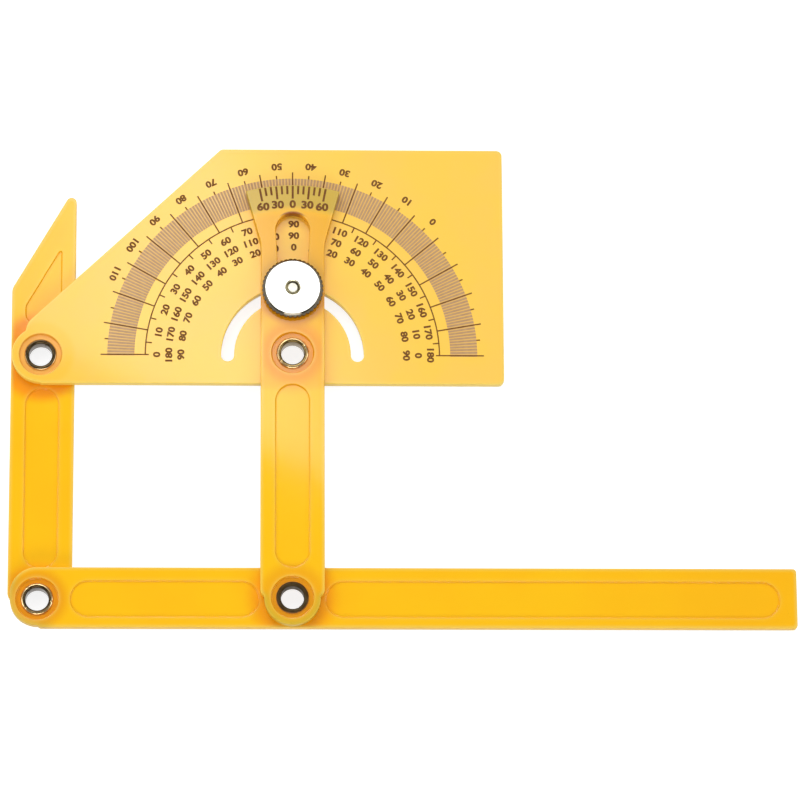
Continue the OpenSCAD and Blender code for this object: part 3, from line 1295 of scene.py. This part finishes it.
@dataclass
class AngleScale:
    """The degree scale on the head: lines, three rows of numbers and an outer row."""

    ink: InkFinish
    thin_ink: InkFinish
    step: int = 10
    band_inner: float = 49.6 * MM
    band_outer: float = 58.1 * MM
    base_arc: float = 46.2 * MM
    ten_outer: float = 60.2 * MM
    five_outer: float = 59.2 * MM
    five_inner: float = 44.3 * MM
    degree_stroke: Stroke = Stroke(0.6 * MM, 0.016 * MM)
    ten_stroke: Stroke = Stroke(0.42 * MM, 0.020 * MM)
    five_stroke: Stroke = Stroke(0.42 * MM, 0.018 * MM)
    arc_stroke: Stroke = Stroke(0.4 * MM, 0.024 * MM)
    rows: tuple[float, float, float] = (43.0 * MM, 39.2 * MM, 35.4 * MM)
    outer_row: float = 62.2 * MM
    digit: float = 2.12 * MM
    number_shift: float = 0.38 * MM
    first_outer: int = 45
    last_outer: int = 155

    def build(self) -> None:
        """Print the lines and the numbers, each as a piece on the head."""
        shop = PrintShop(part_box("protractor_head")[1].z)
        self.lines(shop)
        self.numbers(shop)

    def lines(self, shop: PrintShop) -> None:
        """Print the degree lines and the arc that they stand on.

        Args:
            shop: What prints on the head's face.
        """
        every = HALF_CIRCLE + 1
        degrees = shop.fan_of_ticks(self.band_inner, self.band_outer, 0, 1, every, self.degree_stroke)
        mount(join("single_degrees", [degrees]), Body.HEAD, self.thin_ink)
        tens = HALF_CIRCLE // self.step
        half = self.step / 2
        ends = self.rows[0] + self.digit
        made = [
            shop.fan_of_ticks(self.base_arc, self.ten_outer, 0, self.step, tens + 1, self.ten_stroke),
            shop.fan_of_ticks(self.band_outer, self.five_outer, half, self.step, tens, self.five_stroke),
            shop.fan_of_ticks(self.five_inner, self.base_arc, half, self.step, tens, self.five_stroke),
            shop.fan_of_ticks(ends, self.base_arc, 0, HALF_CIRCLE, 2, self.five_stroke),
            shop.arc_line(self.base_arc, 0, HALF_CIRCLE, self.arc_stroke),
        ]
        mount(join("degree_lines", made), Body.HEAD, self.ink)

    def numbers(self, shop: PrintShop) -> None:
        """Print the three inner rows and the outer row.

        Args:
            shop: What prints on the head's face.
        """
        tens = range(0, HALF_CIRCLE + 1, self.step)
        labels = (
            {angle: str(HALF_CIRCLE - angle) for angle in tens},
            {angle: str(angle) for angle in tens},
            {angle: str(abs(UPRIGHT - angle)) for angle in tens},
        )
        made = [
            number
            for radius, texts in zip(self.rows, labels)
            for number in shop.ring_of_numbers(texts, radius, self.digit, Facing.OUTWARDS)
        ]
        self.print_off_centre("degree_numbers", made)
        outer_tens = range(self.first_outer, self.last_outer + 1, self.step)
        outer = {angle: str(angle - self.first_outer) for angle in outer_tens}
        made = shop.ring_of_numbers(outer, self.outer_row, self.digit, Facing.INWARDS)
        self.print_off_centre("bevel_numbers", made)

    def print_off_centre(self, name: str, made: Sequence[bpy.types.Object]) -> None:
        """Join numbers and mount them a little to the right of the lines, as on the real plate.

        Args:
            name: The joined piece's name.
            made: The numbers.
        """
        numbers = join(name, made)
        numbers.data.transform(Matrix.Translation((self.number_shift, 0.0, 0.0)))
        mount(numbers, Body.HEAD, self.ink)


@dataclass
class Vernier:
    """The vernier at the top of the arm, read in steps of ten minutes."""

    ink: InkFinish
    edge: float = 54.7 * MM
    long_inner: float = 50.5 * MM
    short_inner: float = 52.0 * MM
    stroke: Stroke = Stroke(0.66 * MM, 0.02 * MM)
    row: float = 48.7 * MM
    digit: float = 2.45 * MM
    divisions: int = 6
    long_every: int = 3
    minutes: int = 10
    reach: float = 11.0
    lean: float = 0.3

    def build(self) -> None:
        """Print the lines and the numbers, each as a piece on the arm."""
        shop = PrintShop(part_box("indicator_arm")[1].z)
        step = self.reach / self.divisions
        lines = []
        numbers = []
        for place in range(-self.divisions, self.divisions + 1):
            angle = UPRIGHT + place * step
            is_long = place % self.long_every == 0
            inner = self.long_inner if is_long else self.short_inner
            lines.append(shop.tick(inner, self.edge, angle, self.stroke))
            if is_long:
                text = str(abs(place) * self.minutes)
                turn = place * step * self.lean
                numbers.append(shop.number(text, self.digit, polar(self.row, angle), turn))
        mount(join("vernier_lines", lines), Body.ARM, self.ink)
        mount(join("vernier_numbers", numbers), Body.ARM, self.ink)


@dataclass(frozen=True)
class SoftLamp:
    """A rectangular soft lamp: where it hangs, how it is turned, its size and its radiance.

    A graded lamp also lists places along X with the share of the glow there, and gives how far the
    glow is dimmed from its near edge, as a share of its depth, and to what share at that edge.
    """

    name: str
    at: Place
    turn: tuple[float, float, float]
    size: Pair
    glow: float
    across: tuple[Pair, ...] = ()
    near_edge: Pair = (0.0, 1.0)


@dataclass
class Studio:
    """The pale floor, the soft lamps and the camera at the photograph's angle."""

    floor_level: float
    lamps: tuple[SoftLamp, ...] = (
        SoftLamp(
            "overhead_softbox", at=(-0.225, 0.959, 1.0), turn=(0.0, 0.0, -27.0), size=(1.3, 1.1), glow=3.75,
            across=((-0.13, 0.6), (-0.07, 0.95), (-0.02, 1.0), (0.04, 0.70), (0.09, 0.46)),
            near_edge=(0.055, 0.4),
        ),
        SoftLamp("back_softbox", at=(-0.1, 1.35, 1.25), turn=(-47.0, 0.0, 0.0), size=(1.4, 0.8), glow=2.35),
        SoftLamp("left_fill", at=(-1.3, -0.1, 0.9), turn=(0.0, -55.0, 0.0), size=(1.0, 1.0), glow=2.2),
        SoftLamp("right_fill", at=(1.3, -0.1, 0.9), turn=(0.0, 55.0, 0.0), size=(1.0, 1.0), glow=2.1),
        SoftLamp("front_fill", at=(0.0, -1.4, 0.7), turn=(63.0, 0.0, 0.0), size=(1.2, 0.5), glow=4.6),
    )
    flat_radius: float = 3.0
    cove_radius: float = 1.2
    cove_pieces: int = 12
    floor_steps: int = 96
    floor_crease: float = 60.0
    floor_tone: Colour = (0.45, 0.45, 0.45)
    floor_glow: float = 0.84
    world_level: float = 0.3
    camera_at: Place = (-0.01894, -0.40485, 1.44563)
    camera_turn: tuple[float, float, float] = (15.113, -2.001, -0.312)
    lens: float = 215.07
    sensor: float = 36.0

    def build(self) -> None:
        """Set the stage, the lamps and the camera."""
        bpy.context.scene.view_settings.view_transform = "Standard"
        self.world()
        self.floor()
        for lamp in self.lamps:
            self.hang(lamp)
        self.camera()

    def world(self) -> None:
        """Light the room softly from all round."""
        world = bpy.data.worlds.new("room")
        bpy.context.scene.world = world
        world.use_nodes = True
        background = world.node_tree.nodes["Background"]
        background.inputs["Color"].default_value = WHITE
        background.inputs["Strength"].default_value = self.world_level

    def floor(self) -> None:
        """Lay a white floor that curves up far behind, with its face upwards."""
        middle = (self.flat_radius, self.floor_level + self.cove_radius)
        cove = arc(middle, self.cove_radius, -UPRIGHT, 0, self.cove_pieces)
        floor = turn_profile("floor", [(0.0, self.floor_level), *cove], (0.0, 0.0), self.floor_steps)
        smooth(floor, self.floor_crease)
        floor.data.materials.append(self.floor_finish())
        if floor.data.polygons[0].normal.z < 0:
            open_mesh(floor)
            bpy.ops.mesh.flip_normals()
            close_mesh()

    def floor_finish(self) -> bpy.types.Material:
        """Make a floor that is white to the camera and in reflections, and still takes shadows.

        Returns:
            The material.
        """
        board, material, shader, _ = start_material("white_floor")
        board.feed(shader.inputs["Base Color"], self.floor_tone)
        board.feed(shader.inputs["Roughness"], 1.0)
        board.feed(shader.inputs["Specular IOR Level"], 0.0)
        board.feed(shader.inputs["Emission Color"], WHITE)
        rays = board.add("ShaderNodeLightPath").outputs
        seen = board.calculate("MAXIMUM", rays["Is Camera Ray"], rays["Is Glossy Ray"])
        seen = board.calculate("MAXIMUM", seen, rays["Is Transmission Ray"])
        board.feed(shader.inputs["Emission Strength"], board.calculate("MULTIPLY", seen, self.floor_glow))
        return material

    def hang(self, soft: SoftLamp) -> None:
        """Hang a rectangular soft lamp.

        Args:
            soft: The lamp's place, size and radiance.
        """
        clear_selection()
        turn = tuple(math.radians(angle) for angle in soft.turn)
        bpy.ops.object.light_add(type="AREA", location=soft.at, rotation=turn)
        lamp = bpy.context.object
        lamp.name = soft.name
        lamp.data.shape = "RECTANGLE"
        lamp.data.size, lamp.data.size_y = soft.size
        lamp.data.energy = soft.glow * math.pi * soft.size[0] * soft.size[1]
        lamp.visible_camera = False
        if soft.across:
            self.grade(lamp.data, soft)

    def grade(self, lamp: bpy.types.Light, soft: SoftLamp) -> None:
        """Let a lamp's glow change along X and dim towards its near edge.

        Args:
            lamp: The lamp.
            soft: How it is graded.
        """
        lamp.use_nodes = True
        board = NodeBoard(lamp.node_tree)
        geometry = board.add("ShaderNodeNewGeometry")
        along = board.add("ShaderNodeSeparateXYZ", Vector=geometry.outputs["Position"]).outputs["X"]
        first = soft.across[0][0]
        last = soft.across[-1][0]
        ramp = board.add("ShaderNodeValToRGB", Fac=board.rise(along, first, last, Easing.STRAIGHT))
        stops = ramp.color_ramp.elements
        for place, _ in soft.across[1:-1]:
            stops.new((place - first) / (last - first))
        for stop, (_, glow) in zip(stops, soft.across):
            stop.color = (glow, glow, glow, 1.0)
        inwards = board.add("ShaderNodeSeparateXYZ", Vector=geometry.outputs["Parametric"]).outputs
        from_far = board.calculate("ADD", inwards["X"], inwards["Y"])
        depth = board.calculate("SUBTRACT", 1.0, from_far)
        reach, dimmest = soft.near_edge
        dimming = board.add(
            "ShaderNodeMapRange", Value=depth, From_Max=reach, To_Min=dimmest, To_Max=1.0
        ).outputs[0]
        strength = lamp.node_tree.nodes["Emission"].inputs["Strength"]
        board.feed(strength, board.calculate("MULTIPLY", ramp.outputs[0], dimming))

    def camera(self) -> None:
        """Set the camera where the photograph was taken from."""
        clear_selection()
        turn = tuple(math.radians(angle) for angle in self.camera_turn)
        bpy.ops.object.camera_add(location=self.camera_at, rotation=turn)
        camera = bpy.context.object
        camera.name = "camera"
        camera.data.lens = self.lens
        camera.data.sensor_width = self.sensor
        bpy.context.scene.camera = camera


def link_finish(pivots: Pivots) -> PlasticFinish:
    """Return the link's finish, with painted shade where the head and the blade lie over it.

    Args:
        pivots: Where the rivets stand.

    Returns:
        The finish.
    """
    # Painted shade where the head and the blade lie over the link
    shade_under_head = Ring(
        pivots.head_link, paint(250, 148, 2), outer=14.0 * MM, softness=2.2 * MM, strength=0.9
    )
    shade_under_blade = Ring(pivots.blade_link, SHADE_ORANGE, outer=11.5 * MM, softness=2.0 * MM, strength=0.6)
    return PlasticFinish("amber_link", AMBER, DEEP_AMBER, rings=(shade_under_head, shade_under_blade))


def blade_finish(pivots: Pivots) -> PlasticFinish:
    """Return the blade's finish: painted shade under the arm, over the link and round the rivet,
    a deeper tone at its far end, and painted light along its round edge.

    Args:
        pivots: Where the rivets stand.

    Returns:
        The finish.
    """
    far_end = (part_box("blade")[1].x, pivots.blade_arm[1])
    # Painted shade where the arm lies over the blade
    shade_under_arm = Ring(pivots.blade_arm, SHADE_ORANGE, outer=13.0 * MM, softness=3.0 * MM, strength=0.75)
    deeper_end = Ring(far_end, paint(250, 178, 4), outer=34.0 * MM, softness=34.0 * MM, strength=0.7)
    # Painted shade where the blade lies over the link, and the roll's painted shadow on the rivet's seat
    shade_over_link = Ring(
        pivots.blade_link, paint(236, 150, 3), outer=9.0 * MM, softness=2 * BLUR, strength=0.8
    )
    shaded_rivet_seat = Ring(pivots.blade_link, paint(238, 144, 12), outer=5.6 * MM, softness=BLUR, strength=0.7)
    # Painted light: an olive band along the round edge, laid over the rims
    round_edge_light = Ring(
        pivots.blade_link, OLIVE, inner=7.4 * MM, outer=11.0 * MM, softness=BLUR, strength=0.45,
        side=Side(heading=215, start=1.5 * MM, softness=3 * MM),
    )
    return PlasticFinish(
        "amber_blade", AMBER, DEEP_AMBER, rings=(shade_under_arm, deeper_end, shade_over_link, shaded_rivet_seat),
        over_rims=(round_edge_light,),
    )


def arm_finish(pivots: Pivots) -> PlasticFinish:
    """Return the arm's finish: painted shade over the head, the blade and its rivets' seats, a painted
    shadow below the nut and at the window's top, painted light on its round edge, and the scale
    below painted olive as if seen through it.

    Args:
        pivots: Where the rivets and the clamp stand.

    Returns:
        The finish.
    """
    # Painted shade over the head's pivot and over the blade, and on the lower rivet's seat
    shade_at_main_pivot = Ring(
        pivots.head_arm, paint(236, 148, 6), outer=11.0 * MM, softness=4.0 * MM, strength=0.9
    )
    shade_over_blade = Ring(
        pivots.blade_arm, paint(243, 168, 10), outer=10.4 * MM, softness=2 * BLUR, strength=0.8
    )
    shaded_lower_seat = Ring(pivots.blade_arm, paint(226, 142, 12), outer=6.0 * MM, softness=BLUR, strength=0.8)
    # Painted shade where the arm lies over the head, and a painted shadow below the nut
    shade_over_head = Ring(
        pivots.head_arm, paint(236, 168, 20), inner=13.0 * MM, outer=47.0 * MM, softness=3.0 * MM,
        strength=0.85, side=Side(heading=UPRIGHT, start=-11 * MM, softness=2 * MM),
    )
    shadow_below_nut = Ring(
        pivots.clamp, paint(240, 148, 14), outer=11.2 * MM, softness=1.4 * MM, strength=0.8,
        side=Side(heading=270, start=1 * MM, softness=5 * MM),
    )
    # Painted: the scale's ink below, seen darkly through the plastic
    over_scale = Ring(
        pivots.head_arm, OLIVE, inner=47.3 * MM, outer=60.0 * MM, softness=1.6 * MM, strength=0.85,
        side=Side(heading=UPRIGHT, start=30 * MM, softness=1 * MM),
    )
    # Painted shade at the window's top and on the main rivet's seat, then painted light on the round edge
    window_shade = Ring(
        (0.0, 40.3 * MM), paint(132, 58, 14), inner=5.0 * MM, outer=6.0 * MM, softness=0.3 * MM,
        strength=0.9, side=Side(heading=UPRIGHT, start=4.7 * MM, softness=0.8 * MM),
    )
    shaded_main_seat = Ring(pivots.head_arm, paint(230, 150, 20), outer=6.0 * MM, softness=BLUR, strength=0.85)
    round_edge_light = Ring(
        pivots.blade_arm, paint(206, 172, 32), inner=7.2 * MM, outer=12.0 * MM, softness=BLUR,
        strength=0.7, side=Side(heading=270, start=-1 * MM, softness=2 * MM),
    )
    return PlasticFinish(
        "amber_arm", paint(254, 197, 4), paint(254, 191, 4), rings=(shade_at_main_pivot, shade_over_blade, shaded_lower_seat),
        over_rims=(shade_over_head, shadow_below_nut, over_scale, window_shade, shaded_main_seat, round_edge_light),
    )


def head_finish(pivots: Pivots, band: AngleScale) -> PlasticFinish:
    """Return the head's paler finish, dimmed by ink between the single degree lines, with painted
    shade over the link, round the rivet and on its recesses' walls, and painted light on its through walls.

    Args:
        pivots: Where the rivets stand.
        band: The scale, whose single degree lines fill a band.

    Returns:
        The finish.
    """
    haze = Ring(
        pivots.head_arm, paint(208, 166, 112), inner=band.band_inner, outer=band.band_outer,
        softness=0.15 * MM, strength=0.62, side=Side(heading=UPRIGHT, start=0.0, softness=0.2 * MM),
    )
    # Painted shade where the head lies over the link, and round the rivet's seat
    shade_over_link = Ring(pivots.head_link, paint(254, 196, 52), outer=10.4 * MM, softness=BLUR, strength=0.6)
    shaded_rivet_seat = Ring(
        pivots.head_link, paint(252, 184, 84), outer=6.4 * MM, softness=0.4 * MM, strength=0.9
    )
    # The recesses' walls take a painted shade, the through walls a painted light
    return PlasticFinish(
        "pale_amber_head", paint(254, 204, 72), paint(254, 199, 86), recess=paint(236, 150, 40),
        recess_share=0.7, wall=paint(255, 222, 92), rings=(haze, shade_over_link, shaded_rivet_seat),
    )


def plates(pivots: Pivots, scale: AngleScale) -> list[MouldedPlate]:
    """List the four plates with their finishes.

    Args:
        pivots: Where the rivets stand.
        scale: The scale that is printed on the head.

    Returns:
        The plates, from the lowest layer to the highest.
    """
    return [
        MouldedPlate("pointed_link", Body.LINK, Slot.ARM_PLASTIC, link_finish(pivots)),
        MouldedPlate("blade", Body.BLADE, Slot.ARM_PLASTIC, blade_finish(pivots)),
        MouldedPlate("protractor_head", Body.HEAD, Slot.HEAD_PLASTIC, head_finish(pivots, scale)),
        MouldedPlate("indicator_arm", Body.ARM, Slot.ARM_PLASTIC, arm_finish(pivots)),
    ]


def rolled_brass(name: str, at: Point, reach: float, shade: Colour, gloss: float = 0.16) -> MetalFinish:
    """Return rolled brass whose roll carries a painted dark reflection out to a radius.

    Args:
        name: The finish's name.
        at: Where the rivet stands.
        reach: The radius.
        shade: The tone of the painted dark reflection.
        gloss: The metal's roughness before it wears.

    Returns:
        The finish.
    """
    # Painted dark reflection over the roll and the bore
    painted_reflection = Ring(at, shade, outer=reach, softness=0.15 * MM, strength=0.92)
    return MetalFinish(
        name, paint(232, 204, 150), paint(150, 116, 66), amount=0.6, gloss=gloss, rings=(painted_reflection,)
    )


def rivets(pivots: Pivots) -> list[HollowRivet]:
    """List the four rivets, each with its painted dark reflection and the splits of its own rolls.

    Args:
        pivots: Where the rivets stand.

    Returns:
        The rivets.
    """
    upper_left = rolled_brass("brass_head_link", pivots.head_link, 4.75 * MM, DARK_REFLECTION)
    middle = rolled_brass("brass_head_arm", pivots.head_arm, 4.3 * MM, OLIVE_REFLECTION)
    lower_left = rolled_brass("brass_blade_link", pivots.blade_link, 4.35 * MM, DARK_REFLECTION)
    lower_middle = rolled_brass("brass_blade_arm", pivots.blade_arm, 5.0 * MM, DARK_REFLECTION, gloss=0.45)
    return [
        HollowRivet("head_link_rivet", Body.HEAD, pivots.head_link, upper_left, (180.0, 64.0)),
        HollowRivet("head_arm_rivet", Body.HEAD, pivots.head_arm, middle, (38.0, 214.0)),
        HollowRivet("blade_link_rivet", Body.BLADE, pivots.blade_link, lower_left, (352.0, 131.0, 218.0)),
        HollowRivet("blade_arm_rivet", Body.ARM, pivots.blade_arm, lower_middle, (300.0, 150.0)),
    ]


def nut_plating(clamp: Point) -> MetalFinish:
    """Return the nut's bright plating, with painted shade in its bore and a painted dark reflection on its
    knurled rim.

    Args:
        clamp: Where the nut stands.

    Returns:
        The finish.
    """
    # Painted shade in the bore, and a painted dark reflection on the knurled rim
    shade_in_bore = Ring(clamp, paint(176, 168, 134), outer=2.5 * MM, softness=0.1 * MM, strength=0.9)
    dark_reflection_on_rim = Ring(
        clamp, paint(70, 58, 32), inner=8.5 * MM, outer=12.0 * MM, softness=0.15 * MM, strength=0.9
    )
    return MetalFinish(
        "bright_plating", paint(244, 243, 238), paint(232, 230, 220), amount=0.5, gloss=0.08,
        rings=(shade_in_bore, dark_reflection_on_rim),
    )


def main() -> None:
    """Build the dressed angle finder on its frame."""
    logging.basicConfig(level=logging.INFO, format="%(message)s")
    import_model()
    pivots = Pivots.from_frame()
    scale = AngleScale(BROWN_INK, THIN_INK)
    SharedEffects().build()
    for part in (*plates(pivots, scale), *rivets(pivots)):
        part.build()
    ThumbClamp(pivots.clamp, nut_plating(pivots.clamp), PLATED_STEEL).build()
    scale.build()
    Vernier(BROWN_INK).build()
    Studio(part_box("pointed_link")[0].z).build()


if __name__ == "__main__":
    main()
